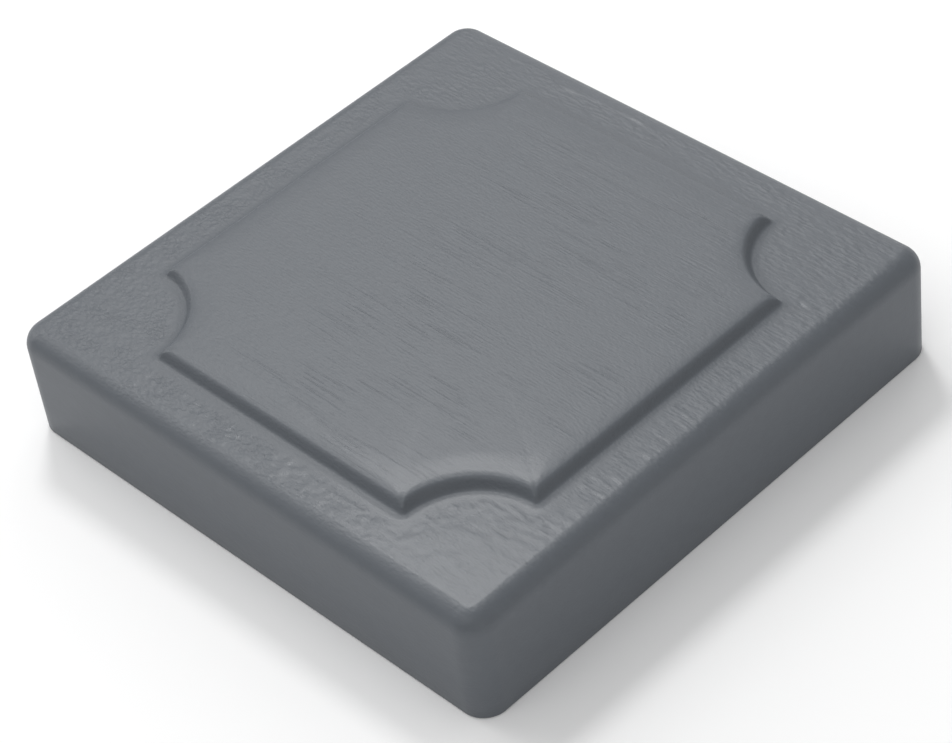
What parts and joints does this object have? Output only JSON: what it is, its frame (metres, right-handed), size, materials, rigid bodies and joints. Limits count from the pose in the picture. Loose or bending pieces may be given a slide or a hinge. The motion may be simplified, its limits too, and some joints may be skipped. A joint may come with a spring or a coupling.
{
  "type": "rosette corner block",
  "caption": "Square corner block for a door casing, with a flat rim round a low raised panel that has scooped corners.",
  "frame": {"origin": "middle of the flat back", "axes": "+Z out of the face, +X along the grain of the finish, +Y across it"},
  "size_m": [0.1, 0.1, 0.022],
  "materials": {
    "grey_skin": "satin grey skin with fine straight grain over fibreboard, bare on the back"
  },
  "bodies": {
    "root": {"corner_block": "grey_skin"}
  },
  "joints": []
}
